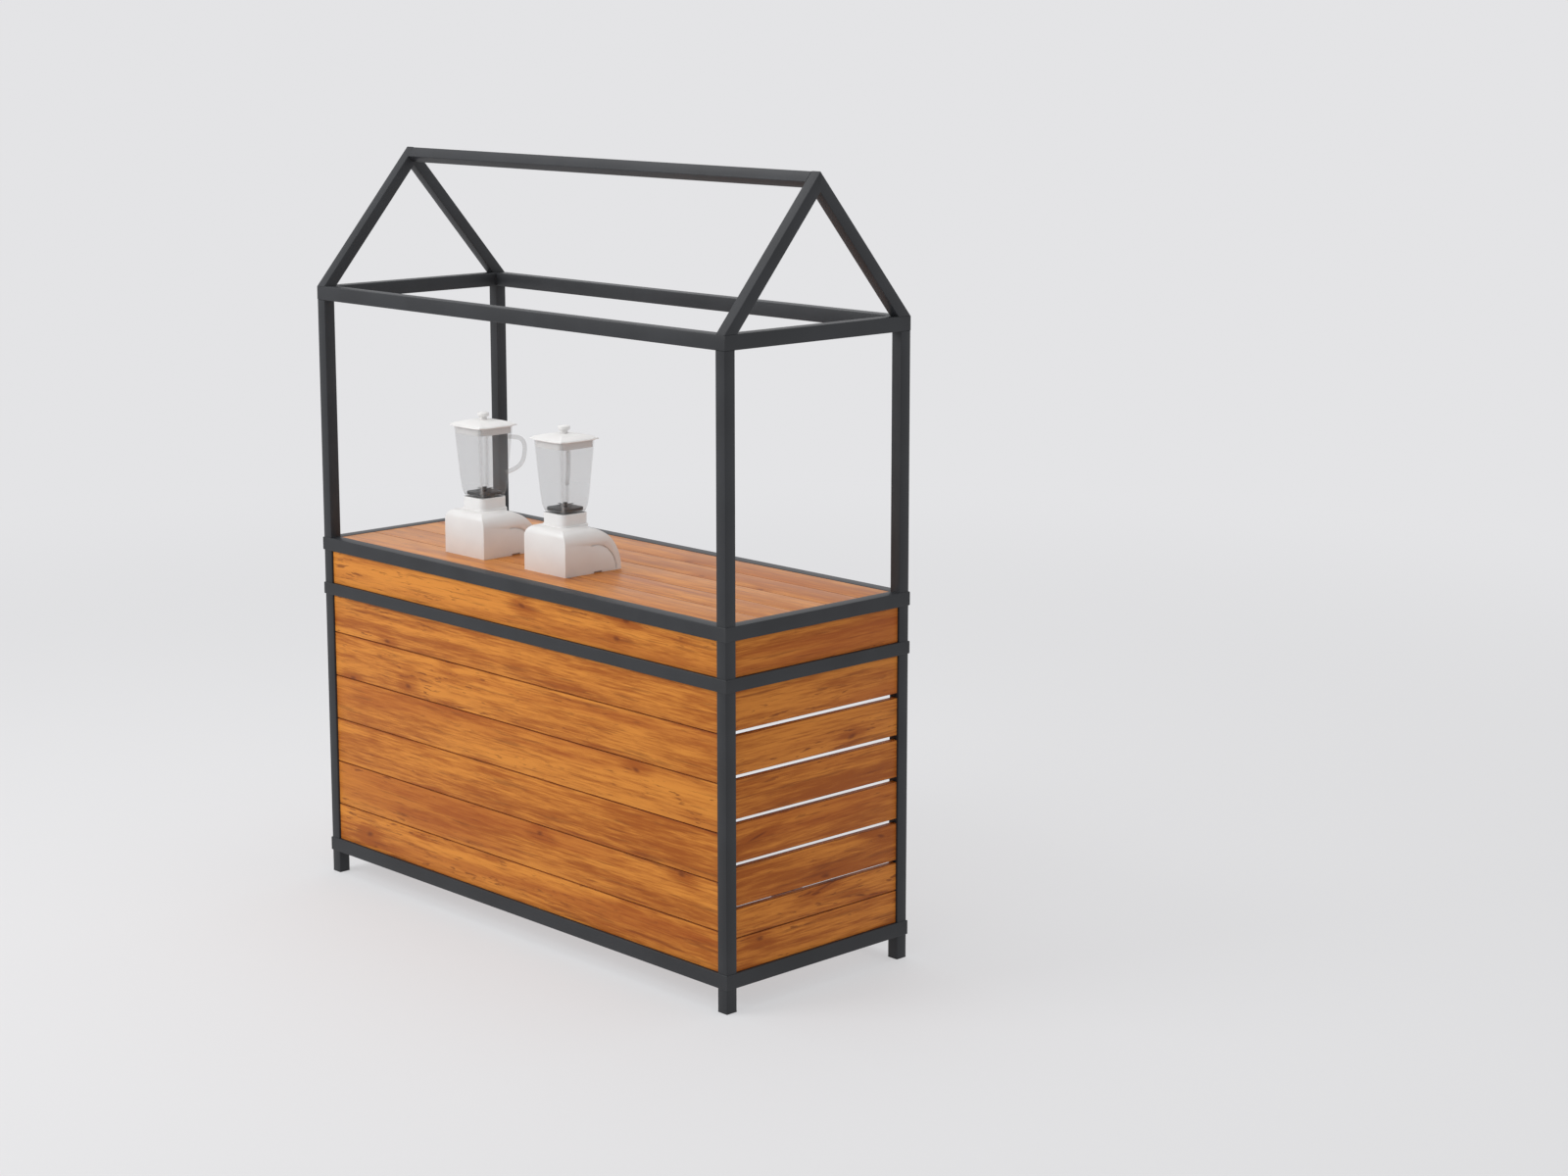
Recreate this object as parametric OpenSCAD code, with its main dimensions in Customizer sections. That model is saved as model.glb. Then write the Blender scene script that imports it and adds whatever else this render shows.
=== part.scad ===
/* [Overall] */
// Length over the base, belt and worktop rails
cart_length = 1750; // [1300:10:2400]
// Depth over the base, belt and worktop rails
cart_depth = 670; // [560:10:1000]
// Height of the worktop rails' top face
counter_height = 1020; // [850:5:1200]
// Height of the eave rails' top face
eave_height = 1760; // [1550:5:2000]
// Height of the roof's apex line
ridge_height = 2150; // [1950:5:2600]

/* [Steel frame] */
// Side of the square post tube
post_size = 35; // [25:1:40]
// How far the base, belt and worktop rails stand out past the posts
rail_proud = 2.5; // [0:0.5:5]
// Depth of every rail tube, front to back of its own section
rail_depth = 38; // [35:1:60]
// Height of the base rail tube
base_rail_height = 40; // [30:1:60]
// Height of the belt rail tube
belt_rail_height = 35; // [25:1:60]
// Height of the worktop rail tube
worktop_rail_height = 38; // [30:1:60]
// Height of the eave rail tube
eave_rail_height = 40; // [30:1:60]
// Side of the rafter and ridge tube
rafter_size = 34; // [25:1:38]
// Wall of every tube
tube_wall = 2; // [1:0.5:4]
// Clear height under the base rails
foot_height = 65; // [30:1:150]
// Thickness of the plastic glide under each foot
glide_thickness = 4; // [2:0.5:10]
// Height between the belt rails and the worktop rails
apron_height = 97; // [70:1:160]

/* [Boards] */
// Thickness of the front, side and apron boards
board_thickness = 18; // [12:1:22]
// How far the boards lie behind the rails' outer faces
board_recess = 8; // [3:1:12]
// Cover height of one full front board
front_board_cover = 131; // [90:1:160]
// Joint between two front boards
board_joint = 2; // [1:0.5:5]
// Clearance at a board's ends and over the top board
board_clearance = 0.5; // [0.2:0.1:0.9]
// Height of the slat under the belt rail
top_slat_height = 104; // [60:1:120]
// Height of the full side slats
slat_height = 103; // [60:1:120]
// Open gap between the side slats
slat_gap = 13; // [4:1:20]
// Open gap over the filler slat
filler_gap = 8; // [3:1:20]
// Least height of the filler slat over the bottom one
smallest_filler = 30; // [20:1:60]
// Height of the bottom side slat
bottom_slat_height = 90; // [50:1:110]
// Width of a batten behind the front boards
batten_width = 40; // [25:1:80]
// Distance between the two battens
batten_spacing = 1100; // [400:10:1150]

/* [Worktop] */
// Number of worktop planks
plank_count = 5; // [3:1:8]
// Joint between two planks
plank_joint = 2; // [1:0.5:4]
// Thickness of the planks
plank_thickness = 18; // [12:1:24]
// How far the planks lie below the rails' top face
plank_drop = 1; // [0:0.5:4]
// Clearance between the planks and the rails
plank_clearance = 0.5; // [0.2:0.1:0.9]
// Number of bearers under the planks
bearer_count = 3; // [2:1:6]
// Width of one bearer
bearer_width = 40; // [25:1:80]

/* [Blenders] */
// Distance between the two blenders' jar axes
blender_spacing = 360; // [260:5:500]
// Right blender's jar axis, from the cart's middle towards the right end
blender_shift = 10; // [-100:5:200]
// Jar axes, from the cart's middle towards the front
blender_forward = 140; // [100:5:180]
// Width of a blender base
base_width = 178; // [150:1:220]
// Depth of the base in front of the jar axis
base_front = 75; // [60:1:100]
// Depth of the base behind the jar axis
base_rear = 125; // [100:1:160]
// Height of the base's body, below the collar
base_height = 130; // [100:1:160]
// Rounding of the base's shoulders
shoulder_radius = 46; // [20:1:60]
// Side of the collar that takes the jar
collar_size = 94; // [80:1:110]
// Height of the collar
collar_height = 35; // [20:1:60]
// Height of the jar above the collar
jar_height = 202; // [150:1:260]
// Side of the jar at its foot
jar_foot_size = 88; // [70:1:94]
// Side of the jar at its rim
jar_rim_size = 130; // [100:1:138]
// Wall of the jar
jar_wall = 3; // [2:0.5:5]
// Depth of the lid's plug inside the jar
plug_depth = 20; // [10:1:40]
// Side of the lid's flange
lid_size = 142; // [132:1:170]
// Height of the lid's dome over its flange
dome_height = 21; // [10:1:40]
// Diameter of the lid's knob
knob_diameter = 34; // [20:1:50]

/* [Hidden] */

steel = "#3d4043";
wood = "#c07a35";
white_plastic = "#eeecea";
clear_plastic = "#c9d3d6";
black_rubber = "#1b1b1c";
eps = 0.01;

// Levels of the rail undersides and what stands on them
base_rail_bottom = foot_height;
base_rail_top = base_rail_bottom + base_rail_height;
worktop_rail_bottom = counter_height - worktop_rail_height;
belt_rail_top = worktop_rail_bottom - apron_height;
belt_rail_bottom = belt_rail_top - belt_rail_height;
eave_rail_bottom = eave_height - eave_rail_height;

// Half sizes over the rails and over the posts
half_length = cart_length / 2;
half_depth = cart_depth / 2;
post_x = half_length - rail_proud;
post_y = half_depth - rail_proud;
bay_x = post_x - post_size;
bay_y = post_y - post_size;

// Roof slope, from the eave's outer top edge up to the apex
roof_angle = atan2(ridge_height - eave_height, post_y);

// Boards and planks
board_back = board_recess + board_thickness;
panel_height = belt_rail_bottom - base_rail_top;
front_full_boards = floor(panel_height / front_board_cover) - 1;
trimmed_board = (panel_height - front_full_boards * front_board_cover) / 2;
batten_thickness = rail_depth - board_back;
filler_room = panel_height - board_clearance - top_slat_height - filler_gap - board_joint
    - bottom_slat_height;
slat_gaps = 1 + floor((filler_room - smallest_filler) / (slat_height + slat_gap));
filler_top = belt_rail_bottom - board_clearance - top_slat_height - filler_gap
    - (slat_gaps - 1) * (slat_height + slat_gap);
filler_bottom = base_rail_top + bottom_slat_height + board_joint;
plank_top = counter_height - plank_drop;
plank_bottom = plank_top - plank_thickness;
plank_half_length = half_length - rail_depth - plank_clearance;
planks_half_depth = half_depth - rail_depth - plank_clearance;
plank_pitch = (2 * planks_half_depth + plank_joint) / plank_count;
bearer_pitch = 2 * plank_half_length / bearer_count;

// Blender parts, measured up from the planks
collar_top = base_height + collar_height;
jar_top = collar_top + jar_height;
jar_floor = 5;
jar_foot_round = 18;
jar_rim_round = 28;
jar_taper = (jar_rim_size - jar_foot_size) / jar_height;
seat_size = jar_foot_size - 2 * jar_wall - 4;
seat_height = 6;
spindle_height = 22;
spindle_diameter = 14;
blade_height = 14;
blade_span = 56;
blade_width = 10;
blade_thickness = 2;
plug_clearance = 0.4;
flange_height = 9;
flange_round = 32;
dome_foot_inset = 4;
dome_foot_round = 30;
dome_waist = 0.6;
dome_waist_height = 0.7;
knob_neck = 8;
knob_neck_share = 0.55;
knob_height = 9;
handle_thickness = 13;
handle_reach = 44;
handle_top_drop = 26;
handle_low = 62;
handle_round = 24;
handle_bite = 2;
handle_limb_end = 30;
handle_limb_rise = 10;
handle_heel_in = 22;
handle_heel_rise = 12;
handle_grip_in = 4;
handle_grip_rise = 40;
handle_throat_in = 6;
handle_throat_rise = 46;
sides = 32;

// A rail tube along X with its outer face on y = 0 and both ends mitred to 45 degrees
module mitred_rail(length, height) {
    difference() {
        linear_extrude(height)
            polygon([[-length / 2, 0], [length / 2, 0],
                [length / 2 - rail_depth, rail_depth], [rail_depth - length / 2, rail_depth]]);
        translate([0, 0, tube_wall])
            linear_extrude(height - 2 * tube_wall)
                polygon([[tube_wall - length / 2, tube_wall], [length / 2 - tube_wall, tube_wall],
                    [length / 2 - rail_depth + tube_wall, rail_depth - tube_wall],
                    [rail_depth - tube_wall - length / 2, rail_depth - tube_wall]]);
    }
}

// One side of a ring: 0 front, 1 right, 2 back, 3 left
module ring_side(side, bottom, height, inset) {
    across = side % 2 == 0 ? cart_length : cart_depth;
    offset_out = side % 2 == 0 ? half_depth : half_length;
    color(steel)
        rotate([0, 0, 90 * side])
            translate([0, inset - offset_out, bottom])
                mitred_rail(across - 2 * inset, height);
}

module base_ring(side) ring_side(side, base_rail_bottom, base_rail_height, 0);
module belt_ring(side) ring_side(side, belt_rail_bottom, belt_rail_height, 0);
module worktop_ring(side) ring_side(side, worktop_rail_bottom, worktop_rail_height, 0);
module eave_ring(side) ring_side(side, eave_rail_bottom, eave_rail_height, rail_proud);

// An upright tube whose outer corner stands at the post line, on the given side of each axis
module upright(x_side, y_side, bottom, top) {
    translate([x_side * (post_x - post_size / 2), y_side * (post_y - post_size / 2), bottom])
        linear_extrude(top - bottom)
            difference() {
                square(post_size, center = true);
                square(post_size - 2 * tube_wall, center = true);
            }
}

module lower_post(x_side, y_side) {
    color(steel) {
        upright(x_side, y_side, glide_thickness, base_rail_bottom);
        upright(x_side, y_side, base_rail_top, belt_rail_bottom);
        upright(x_side, y_side, belt_rail_top, worktop_rail_bottom);
    }
}

module upper_post(x_side, y_side) {
    color(steel) upright(x_side, y_side, counter_height, eave_rail_bottom);
}

module foot_glides() {
    color(black_rubber)
        for (x_side = [-1, 1], y_side = [-1, 1])
            translate([x_side * (post_x - post_size / 2), y_side * (post_y - post_size / 2), 0])
                linear_extrude(glide_thickness)
                    square(post_size, center = true);
}

// Front half of the gable in the Y-Z plane, between the roof line and a line the given depth inside it
module gable_leg(outside, inside) {
    outer_y = post_y - outside / sin(roof_angle);
    inner_y = post_y - inside / sin(roof_angle);
    rise = ridge_height - eave_height;
    polygon([[-outer_y, 0], [0, rise - outside / cos(roof_angle)],
        [0, rise - inside / cos(roof_angle)], [-inner_y, 0]]);
}

// A rafter from the eave to the apex, closed at its foot and mitred at the apex
module rafter(x_side, y_side) {
    color(steel)
        mirror([0, y_side > 0 ? 1 : 0, 0])
            translate([x_side * (post_x - rafter_size / 2) - rafter_size / 2, 0, eave_height])
                rotate([90, 0, 90])
                    difference() {
                        linear_extrude(rafter_size) gable_leg(0, rafter_size);
                        translate([0, 0, tube_wall])
                            linear_extrude(rafter_size - 2 * tube_wall)
                                difference() {
                                    gable_leg(tube_wall, rafter_size - tube_wall);
                                    translate([-cart_depth, -eps])
                                        square([2 * cart_depth, tube_wall + eps]);
                                }
                    }
}

// Section of the ridge: two faces in the roof planes and two square to them
module ridge_section(side) {
    drop = side / sin(roof_angle);
    polygon([[0, 0], [-side * cos(roof_angle), -side * sin(roof_angle)], [0, -drop],
        [side * cos(roof_angle), -side * sin(roof_angle)]]);
}

module ridge() {
    inner_side = rafter_size - tube_wall * (1 + tan(roof_angle));
    color(steel)
        translate([rafter_size - post_x, 0, ridge_height])
            rotate([90, 0, 90])
                linear_extrude(2 * (post_x - rafter_size))
                    difference() {
                        ridge_section(rafter_size);
                        translate([0, -tube_wall / cos(roof_angle)]) ridge_section(inner_side);
                    }
}

// A board along X whose outer face lies the board recess behind the front rails
module front_board(bottom, top, end_x) {
    translate([-end_x, board_recess - half_depth, bottom])
        cube([2 * end_x, board_thickness, top - bottom]);
}

module front_boards() {
    end_x = bay_x - board_clearance;
    top = belt_rail_bottom - board_clearance;
    color(wood)
        for (i = [0 : front_full_boards + 1]) {
            joint_top = base_rail_top + trimmed_board + i * front_board_cover;
            low = i == 0 ? base_rail_top : joint_top - front_board_cover;
            high = i > front_full_boards ? top : joint_top - board_joint;
            front_board(low, high, end_x);
        }
}

module front_battens() {
    color(wood)
        for (side = [-1, 1])
            translate([(side * batten_spacing - batten_width) / 2, board_back - half_depth,
                base_rail_top])
                cube([batten_width, batten_thickness, panel_height]);
}

// A slat along Y at the right end
module end_slat(bottom, height) {
    translate([half_length - board_back, board_clearance - bay_y, bottom])
        cube([board_thickness, 2 * (bay_y - board_clearance), height]);
}

module end_slats() {
    first = belt_rail_bottom - board_clearance - top_slat_height;
    color(wood) {
        end_slat(first, top_slat_height);
        for (i = [1 : slat_gaps - 1]) end_slat(first - i * (slat_height + slat_gap), slat_height);
        end_slat(filler_bottom, filler_top - filler_bottom);
        end_slat(base_rail_top, bottom_slat_height);
    }
}

module right_slats() end_slats();
module left_slats() mirror([1, 0, 0]) end_slats();

module apron_boards() {
    height = apron_height - board_clearance;
    color(wood) {
        for (turn = [0, 180])
            rotate([0, 0, turn])
                front_board(belt_rail_top, belt_rail_top + height, bay_x - board_clearance);
        for (turn = [0, 180]) rotate([0, 0, turn]) end_slat(belt_rail_top, height);
    }
}

module worktop_planks() {
    color(wood)
        for (i = [0 : plank_count - 1])
            translate([-plank_half_length, i * plank_pitch - planks_half_depth, plank_bottom])
                cube([2 * plank_half_length, plank_pitch - plank_joint, plank_thickness]);
}

module worktop_bearers() {
    half_span = half_depth - rail_depth;
    color(wood)
        for (i = [0 : bearer_count - 1])
            translate([(i - (bearer_count - 1) / 2) * bearer_pitch - bearer_width / 2, -half_span,
                worktop_rail_bottom])
                cube([bearer_width, 2 * half_span, plank_bottom - worktop_rail_bottom]);
}

// Puts a blender part on the planks: side is -1 for the left blender, 1 for the right one
module at_blender(side) {
    x = side < 0 ? blender_shift - blender_spacing : blender_shift;
    translate([x, -blender_forward, plank_top]) children();
}

module rounded_square(size, radius) {
    straight = size / 2 - radius;
    hull()
        for (x_side = [-1, 1], y_side = [-1, 1])
            translate([x_side * straight, y_side * straight]) circle(radius, $fn = sides);
}

// Square with round corners, drawn without a hull so that it keeps true arcs
module true_rounded_square(size, radius) {
    straight = size / 2 - radius;
    square([size, 2 * straight], center = true);
    square([2 * straight, size], center = true);
    for (x_side = [-1, 1], y_side = [-1, 1])
        translate([x_side * straight, y_side * straight]) circle(radius, $fn = 4 * sides);
}

// Outline of the base from the front: upright sides with round shoulders
module base_front_outline() {
    straight = base_width / 2 - shoulder_radius;
    translate([-base_width / 2, 0]) square([base_width, base_height - shoulder_radius]);
    translate([-straight, 0]) square([2 * straight, base_height]);
    for (side = [-1, 1])
        translate([side * straight, base_height - shoulder_radius])
            circle(shoulder_radius, $fn = 4 * sides);
}

// Outline of the base from the side: round shoulder in front, one long arch behind
module base_side_outline() {
    arch_radius = (pow(base_height, 2) + pow(base_rear, 2)) / (2 * base_rear);
    arch_middle = base_rear - arch_radius;
    translate([-base_front, 0]) square([base_front, base_height - shoulder_radius]);
    translate([shoulder_radius - base_front, 0]) square([base_front - shoulder_radius, base_height]);
    translate([shoulder_radius - base_front, base_height - shoulder_radius])
        circle(shoulder_radius, $fn = 4 * sides);
    intersection() {
        translate([arch_middle, 0]) circle(arch_radius, $fn = 4 * sides);
        square([base_rear, base_height]);
    }
}

module blender_base(side) {
    color(white_plastic)
        at_blender(side) {
            intersection() {
                translate([0, base_rear + base_front, 0])
                    rotate([90, 0, 0])
                        linear_extrude(2 * (base_rear + base_front)) base_front_outline();
                translate([-base_width, 0, 0])
                    rotate([90, 0, 90])
                        linear_extrude(2 * base_width) base_side_outline();
            }
            linear_extrude(collar_top) true_rounded_square(collar_size, jar_foot_round);
        }
}

// Outer or inner body of the jar, grown by the given amount all round
module jar_body(grow, from, to) {
    hull()
        for (z = [from, to])
            translate([0, 0, z == from ? from : to - eps])
                linear_extrude(eps)
                    rounded_square(jar_foot_size + jar_taper * z + 2 * grow,
                        jar_foot_round + (jar_rim_round - jar_foot_round) * z / jar_height + grow);
}

// Side outline of the jar's handle, in the plane through the jar's axis and one corner
module handle_outline() {
    rim_corner = jar_rim_size / 2 * sqrt(2) - jar_rim_round * (sqrt(2) - 1);
    foot_corner = jar_foot_size / 2 * sqrt(2) - jar_foot_round * (sqrt(2) - 1);
    lean = (rim_corner - foot_corner) / jar_height;
    reach = rim_corner + handle_reach;
    top = jar_height - handle_top_drop;
    root = foot_corner + lean * handle_low - handle_bite;
    round_x = reach - handle_round;
    grip_inner = reach - handle_thickness;
    difference() {
        union() {
            translate([foot_corner + lean * top - handle_bite, top - handle_thickness])
                square([round_x - foot_corner - lean * top + handle_bite, handle_thickness]);
            translate([round_x, top - handle_round]) circle(handle_round, $fn = 2 * sides);
            polygon([[grip_inner, top - handle_round], [reach, top - handle_round],
                [reach - handle_grip_in, handle_low + handle_grip_rise],
                [reach - handle_heel_in, handle_low + handle_heel_rise],
                [root, handle_low], [root, handle_low + handle_thickness],
                [reach - handle_limb_end, handle_low + handle_thickness + handle_limb_rise],
                [grip_inner - handle_throat_in, handle_low + handle_throat_rise]]);
        }
        translate([round_x, top - handle_round]) circle(handle_round - handle_thickness, $fn = 2 * sides);
        translate([round_x - handle_reach, top - 2 * handle_round])
            square([grip_inner - round_x + handle_reach, handle_round]);
        translate([round_x - handle_reach, top - 2 * handle_round])
            square([handle_reach, 2 * handle_round - handle_thickness]);
    }
}

module blender_jar(side) {
    handle_turn = side < 0 ? 45 : 135;
    color(clear_plastic)
        at_blender(side)
            translate([0, 0, collar_top]) {
                difference() {
                    jar_body(0, 0, jar_height);
                    jar_body(-jar_wall, jar_floor, jar_height + 1);
                }
                rotate([0, 0, handle_turn])
                    translate([0, handle_thickness / 2, 0])
                        rotate([90, 0, 0])
                            linear_extrude(handle_thickness) handle_outline();
            }
}

module blender_blade(side) {
    color(black_rubber)
        at_blender(side)
            translate([0, 0, collar_top + jar_floor]) {
                linear_extrude(seat_height) true_rounded_square(seat_size, jar_foot_round - jar_wall);
                cylinder(h = spindle_height, d = spindle_diameter, $fn = sides);
                for (turn = [0, 90])
                    rotate([0, 0, turn])
                        translate([-blade_span / 2, -blade_width / 2, blade_height])
                            cube([blade_span, blade_width, blade_thickness]);
            }
}

module blender_lid(side) {
    plug_size = jar_rim_size - 2 * jar_wall - 2 * plug_clearance;
    color(white_plastic)
        at_blender(side)
            translate([0, 0, jar_top]) {
                linear_extrude(flange_height) true_rounded_square(lid_size, flange_round);
                hull() {
                    translate([0, 0, flange_height])
                        linear_extrude(eps)
                            rounded_square(lid_size - 2 * dome_foot_inset, dome_foot_round);
                    translate([0, 0, flange_height + dome_height * dome_waist_height])
                        linear_extrude(eps) rounded_square(lid_size * dome_waist, jar_rim_round);
                    translate([0, 0, flange_height + dome_height])
                        cylinder(h = eps, d = knob_diameter, $fn = sides);
                }
                translate([0, 0, flange_height + dome_height])
                    cylinder(h = knob_neck, d = knob_diameter * knob_neck_share, $fn = 2 * sides);
                translate([0, 0, flange_height + dome_height + knob_neck])
                    cylinder(h = knob_height, d = knob_diameter, $fn = 2 * sides);
                translate([0, 0, -plug_depth])
                    hull() {
                        linear_extrude(eps)
                            rounded_square(plug_size - jar_taper * plug_depth, jar_rim_round - jar_wall);
                        translate([0, 0, plug_depth])
                            linear_extrude(eps) rounded_square(plug_size, jar_rim_round - jar_wall);
                    }
            }
}

base_ring(0);  // base_rail_front
base_ring(2);  // base_rail_back
base_ring(3);  // base_rail_left
base_ring(1);  // base_rail_right
belt_ring(0);  // belt_rail_front
belt_ring(2);  // belt_rail_back
belt_ring(3);  // belt_rail_left
belt_ring(1);  // belt_rail_right
worktop_ring(0);  // worktop_rail_front
worktop_ring(2);  // worktop_rail_back
worktop_ring(3);  // worktop_rail_left
worktop_ring(1);  // worktop_rail_right
eave_ring(0);  // eave_rail_front
eave_ring(2);  // eave_rail_back
eave_ring(3);  // eave_rail_left
eave_ring(1);  // eave_rail_right
lower_post(-1, -1);  // lower_post_front_left
lower_post(1, -1);  // lower_post_front_right
lower_post(-1, 1);  // lower_post_back_left
lower_post(1, 1);  // lower_post_back_right
upper_post(-1, -1);  // upper_post_front_left
upper_post(1, -1);  // upper_post_front_right
upper_post(-1, 1);  // upper_post_back_left
upper_post(1, 1);  // upper_post_back_right
rafter(-1, -1);  // rafter_front_left
rafter(1, -1);  // rafter_front_right
rafter(-1, 1);  // rafter_back_left
rafter(1, 1);  // rafter_back_right
ridge();
foot_glides();
front_boards();
front_battens();
left_slats();
right_slats();
apron_boards();
worktop_planks();
worktop_bearers();
blender_base(-1);  // blender_base_left
blender_base(1);  // blender_base_right
blender_jar(-1);  // blender_jar_left
blender_jar(1);  // blender_jar_right
blender_blade(-1);  // blender_blade_left
blender_blade(1);  // blender_blade_right
blender_lid(-1);  // blender_lid_left
blender_lid(1);  // blender_lid_right
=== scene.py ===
import math

import bpy
from mathutils import Matrix, Vector


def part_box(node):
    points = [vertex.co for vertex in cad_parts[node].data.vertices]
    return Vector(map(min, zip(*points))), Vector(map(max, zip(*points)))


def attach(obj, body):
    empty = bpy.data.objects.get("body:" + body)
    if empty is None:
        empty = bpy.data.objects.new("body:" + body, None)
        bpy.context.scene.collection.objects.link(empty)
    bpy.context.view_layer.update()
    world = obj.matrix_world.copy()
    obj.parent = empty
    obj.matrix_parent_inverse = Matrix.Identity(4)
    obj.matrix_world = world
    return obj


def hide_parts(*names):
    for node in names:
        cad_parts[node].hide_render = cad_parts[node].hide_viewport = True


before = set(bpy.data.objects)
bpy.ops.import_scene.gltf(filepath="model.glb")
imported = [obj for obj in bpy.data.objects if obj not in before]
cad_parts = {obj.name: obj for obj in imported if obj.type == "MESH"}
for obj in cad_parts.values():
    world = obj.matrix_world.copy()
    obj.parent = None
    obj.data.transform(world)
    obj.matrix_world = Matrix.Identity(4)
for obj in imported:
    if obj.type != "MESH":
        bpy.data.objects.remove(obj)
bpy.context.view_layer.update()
print("frame loaded:", len(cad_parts), "nodes")


# small tools for modelling

def clearSelection():
    bpy.ops.object.select_all(action="DESELECT")


def makeActive(obj):
    clearSelection()
    obj.select_set(True)
    bpy.context.view_layer.objects.active = obj


def settle(obj):
    makeActive(obj)
    bpy.ops.object.transform_apply(location=True, rotation=True, scale=True)
    return obj


def alongAxis(axis, size=1.0, others=0.0):
    return Vector([size if i == axis else others for i in range(3)])


def addBlock(name, low, high, turn=(0, 0, 0)):
    low, high = Vector(low), Vector(high)
    clearSelection()
    bpy.ops.mesh.primitive_cube_add(size=1, location=(low + high) / 2, rotation=turn, scale=high - low)
    obj = bpy.context.active_object
    obj.name = name
    return settle(obj)


def roundEdges(obj, width, segments=2, angle=30):
    makeActive(obj)
    mod = obj.modifiers.new("round", "BEVEL")
    mod.width = width
    mod.segments = segments
    mod.limit_method = "ANGLE"
    mod.angle_limit = math.radians(angle)
    bpy.ops.object.modifier_apply(modifier=mod.name)
    return obj


def roundChosen(obj, choose, width, segments):
    makeActive(obj)
    bpy.ops.object.mode_set(mode="EDIT")
    bpy.ops.mesh.select_mode(type="EDGE")
    bpy.ops.mesh.select_all(action="DESELECT")
    bpy.ops.object.mode_set(mode="OBJECT")
    for edge in obj.data.edges:
        a, b = (obj.data.vertices[i].co for i in edge.vertices)
        edge.select = choose(a, b)
    bpy.ops.object.mode_set(mode="EDIT")
    bpy.ops.mesh.bevel(offset=width, segments=segments, profile=0.5, affect="EDGES")
    bpy.ops.object.mode_set(mode="OBJECT")
    return obj


def cutOff(obj, point, normal, close=True):
    makeActive(obj)  # keeps the side that the normal points away from
    bpy.ops.object.mode_set(mode="EDIT")
    bpy.ops.mesh.select_mode(type="VERT")
    bpy.ops.mesh.select_all(action="SELECT")
    bpy.ops.mesh.bisect(plane_co=point, plane_no=normal, use_fill=close, clear_outer=True)
    bpy.ops.object.mode_set(mode="OBJECT")
    return obj


def tidyMesh(obj, merge=0.00001):
    makeActive(obj)
    bpy.ops.object.mode_set(mode="EDIT")
    bpy.ops.mesh.select_all(action="SELECT")
    bpy.ops.mesh.remove_doubles(threshold=merge)
    bpy.ops.mesh.normals_make_consistent(inside=False)
    bpy.ops.object.mode_set(mode="OBJECT")
    return obj


def joinAll(name, objs):
    clearSelection()
    for obj in objs:
        obj.select_set(True)
    bpy.context.view_layer.objects.active = objs[0]
    if len(objs) > 1:
        bpy.ops.object.join()
    joined = bpy.context.active_object
    joined.name = name
    return joined


def smooth(obj, angle=35):
    makeActive(obj)
    bpy.ops.object.shade_smooth_by_angle(angle=math.radians(angle))
    return obj


def combine(obj, other, how):
    makeActive(obj)
    mod = obj.modifiers.new("combine", "BOOLEAN")
    mod.operation = how
    mod.solver = "EXACT"
    mod.object = other
    bpy.ops.object.modifier_apply(modifier=mod.name)
    bpy.data.objects.remove(other)
    return obj


def copyMoved(obj, name, shift, turn=0):
    clearSelection()
    twin = obj.copy()
    twin.data = obj.data.copy()
    twin.name = name
    bpy.context.scene.collection.objects.link(twin)
    twin.data.transform(Matrix.Translation(shift) @ Matrix.Rotation(turn, 4, "Z"))
    return twin


def tagValues(obj, name, domain, values):
    layer = obj.data.attributes.new(name, "FLOAT", domain)
    layer.data.foreach_set("value", values)


def solidBoxes(node):
    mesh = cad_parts[node].data
    keys = [tuple(round(c, 5) for c in v.co) for v in mesh.vertices]
    group = {key: key for key in keys}

    def root(key):
        while group[key] != key:
            key = group[key]
        return key

    for face in mesh.polygons:
        first = root(keys[face.vertices[0]])
        for i in face.vertices[1:]:
            group[root(keys[i])] = first
    spots = {}
    for key in group:
        spots.setdefault(root(key), []).append(key)
    boxes = [(Vector(map(min, zip(*points))), Vector(map(max, zip(*points)))) for points in spots.values()]
    return sorted(boxes, key=lambda box: [round(box[0][i], 3) for i in (2, 1, 0)])


def place(obj, slotName, *nodes):
    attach(obj, "root")
    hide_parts(*nodes)
    return obj


# small tools for materials

class Signal:  # a socket that stands in an expression
    def __init__(self, tree, socket):
        self.tree = tree
        self.socket = socket

    def math(self, operation, other=None, swap=False):
        node = self.tree.nodes.new("ShaderNodeMath")
        node.operation = operation
        pair = [self, other] if not swap else [other, self]
        for slotIn, value in zip(node.inputs, pair):
            if isinstance(value, Signal):
                self.tree.links.new(value.socket, slotIn)
            elif value is not None:
                slotIn.default_value = value
        return Signal(self.tree, node.outputs[0])

    def __add__(self, other):
        return self.math("ADD", other)

    def __radd__(self, other):
        return self.math("ADD", other, True)

    def __sub__(self, other):
        return self.math("SUBTRACT", other)

    def __rsub__(self, other):
        return self.math("SUBTRACT", other, True)

    def __mul__(self, other):
        return self.math("MULTIPLY", other)

    def __rmul__(self, other):
        return self.math("MULTIPLY", other, True)

    def __gt__(self, other):
        return self.math("GREATER_THAN", other)

    def least(self, other):
        return self.math("MINIMUM", other)

    def ramp(self, low, high):
        node = self.tree.nodes.new("ShaderNodeMapRange")
        node.interpolation_type = "SMOOTHSTEP"
        self.tree.links.new(self.socket, node.inputs["Value"])
        node.inputs["From Min"].default_value = low
        node.inputs["From Max"].default_value = high
        return Signal(self.tree, node.outputs[0])


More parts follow.
